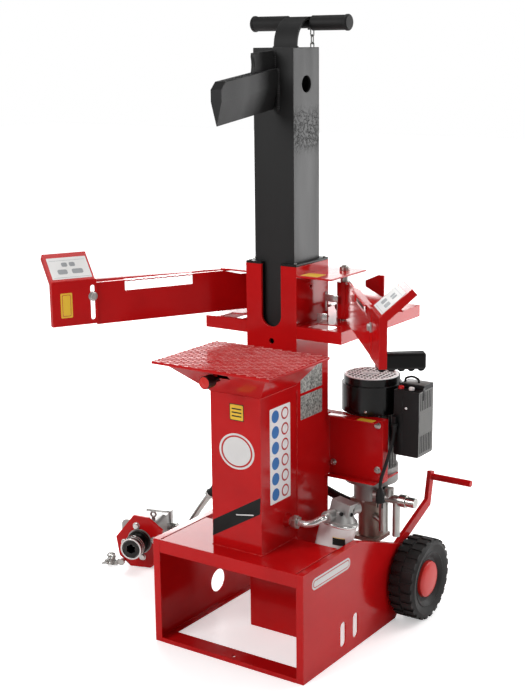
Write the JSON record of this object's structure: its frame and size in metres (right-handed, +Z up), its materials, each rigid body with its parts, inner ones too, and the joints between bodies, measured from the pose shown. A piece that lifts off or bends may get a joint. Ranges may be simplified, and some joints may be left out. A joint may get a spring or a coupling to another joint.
{
  "type": "log splitter",
  "caption": "Upright hydraulic log splitter with a sliding wedge column, two swinging hold-down arms, a lift-off table, a vertical electric motor, transport wheels and a drive-shaft pump.",
  "frame": {"origin": "on the floor under the axis of the guide post", "axes": "+Z up, -Y towards the splitting table and the user, +X towards the electric motor"},
  "size_m": [1.4803, 0.9974, 1.898],
  "materials": {
    "red_paint": "gloss",
    "black_paint": "satin",
    "black_plastic": "satin",
    "black_rubber": "matte",
    "tyre_rubber": "matte",
    "zinc": "satin",
    "bright_steel": "satin",
    "dark_steel": "satin",
    "cast_aluminium": "cast",
    "pump_iron": "cast",
    "white_enamel": "gloss",
    "green_button": "satin",
    "red_button": "satin"
  },
  "bodies": {
    "frame": {"arm_pan": "red_paint", "arm_shelves": "red_paint", "axle_beam": "red_paint", "base_front_bar": "red_paint", "base_panel_left": "red_paint", "base_panel_right": "red_paint", "base_top_plate": "red_paint", "bell_housing": "cast_aluminium", "control_box": "black_plastic", "cylinder_barrel": "dark_steel", "fan_cover": "black_plastic", "filter_canister": "white_enamel", "filter_head": "cast_aluminium", "foot_plate": "red_paint", "frame_fasteners": "zinc", "front_box": "red_paint", "guide_liner": "black_plastic", "guide_post": "red_paint", "hitch_arms": "red_paint", "motor_body": "black_paint", "motor_bracket": "red_paint", "pivot_pins": "zinc", "port_fittings": "zinc", "power_lead": "black_rubber", "power_plug": "black_plastic", "pto_gearbox": "cast_aluminium", "pto_hose": "black_rubber", "pto_pipe": "zinc", "pto_plate": "red_paint", "pto_pump": "cast_aluminium", "pump_body": "pump_iron", "suction_pipe": "zinc", "torque_chain": "zinc", "valve_block": "cast_aluminium"},
    "column": {"column": "black_paint", "wedge": "black_paint", "wedge_gusset": "black_paint", "top_handle": "black_paint", "handle_grips": "black_rubber", "stop_chain": "zinc", "piston_rod": "bright_steel"},
    "table": {"table_plate": "red_paint", "table_bracket": "red_paint"},
    "knob": {"lock_knob": "black_plastic"},
    "arm_left": {"arm_left": "red_paint"},
    "arm_right": {"arm_right": "red_paint"},
    "end_left": {"end_plate_left": "red_paint", "hand_grip_left": "black_plastic"},
    "end_right": {"end_plate_right": "red_paint", "hand_grip_right": "black_plastic"},
    "spool": {"valve_spool": "bright_steel"},
    "rotor": {"motor_rotor": "bright_steel"},
    "wheel_left": {"tyre_left": "tyre_rubber", "rim_left": "red_paint"},
    "wheel_right": {"tyre_right": "tyre_rubber", "rim_right": "red_paint"},
    "start_button": {"button_start": "green_button"},
    "stop_button": {"button_stop": "red_button"},
    "pto_sleeve": {"pto_sleeve": "bright_steel"},
    "pto_collar": {"pto_collar": "bright_steel"}
  },
  "joints": [
    {"name": "column_stroke", "type": "slide", "parent": "frame", "child": "column", "axis": [0, 0, -1], "range_m": [0, 0.6]},
    {"name": "table_lift", "type": "slide", "parent": "frame", "child": "table", "axis": [0, 0, 1], "range_m": [0, 0.06]},
    {"name": "knob_pull", "type": "slide", "parent": "table", "child": "knob", "axis": [0, -1, 0], "range_m": [0, 0.012], "stiffness_N_per_m": 900, "springref_m": -0.004},
    {"name": "arm_left_swing", "type": "hinge", "parent": "frame", "child": "arm_left", "pos_m": [-0.16, 0.07, 1.06], "axis": [0, 0, 1], "range_deg": [-35, 20]},
    {"name": "arm_right_swing", "type": "hinge", "parent": "frame", "child": "arm_right", "pos_m": [0.16, 0.07, 1.06], "axis": [0, 0, 1], "range_deg": [-25, 30]},
    {"name": "end_left_height", "type": "slide", "parent": "arm_left", "child": "end_left", "axis": [0, 0, 1], "range_m": [-0.018, 0.062]},
    {"name": "end_right_height", "type": "slide", "parent": "arm_right", "child": "end_right", "axis": [0, 0, 1], "range_m": [-0.018, 0.062]},
    {"name": "spool_travel", "type": "slide", "parent": "frame", "child": "spool", "axis": [0, 1, 0], "range_m": [-0.01, 0.01]},
    {"name": "rotor_spin", "type": "hinge", "parent": "frame", "child": "rotor", "pos_m": [0.181, 0.205, 0.58], "axis": [0, 0, 1], "continuous": true},
    {"name": "wheel_left_roll", "type": "hinge", "parent": "frame", "child": "wheel_left", "pos_m": [-0.325, 0.27, 0.1325], "axis": [1, 0, 0], "continuous": true},
    {"name": "wheel_right_roll", "type": "hinge", "parent": "frame", "child": "wheel_right", "pos_m": [0.325, 0.27, 0.1325], "axis": [1, 0, 0], "continuous": true},
    {"name": "start_press", "type": "slide", "parent": "frame", "child": "start_button", "axis": [0, 0, -1], "range_m": [0, 0.003], "stiffness_N_per_m": 500},
    {"name": "stop_press", "type": "slide", "parent": "frame", "child": "stop_button", "axis": [0, 0, -1], "range_m": [0, 0.003], "stiffness_N_per_m": 500},
    {"name": "pto_spin", "type": "hinge", "parent": "frame", "child": "pto_sleeve", "pos_m": [-0.69, 0.08, 0.1], "axis": [0.2924, -0.9563, 0], "continuous": true},
    {"name": "collar_pull", "type": "slide", "parent": "pto_sleeve", "child": "pto_collar", "axis": [0.2924, -0.9563, 0], "range_m": [0, 0.008], "stiffness_N_per_m": 2500, "springref_m": -0.002}
  ],
  "couplings": [
    {"joint": "spool_travel", "follows": "arm_right_swing", "m_per_rad": 0.018}
  ]
}
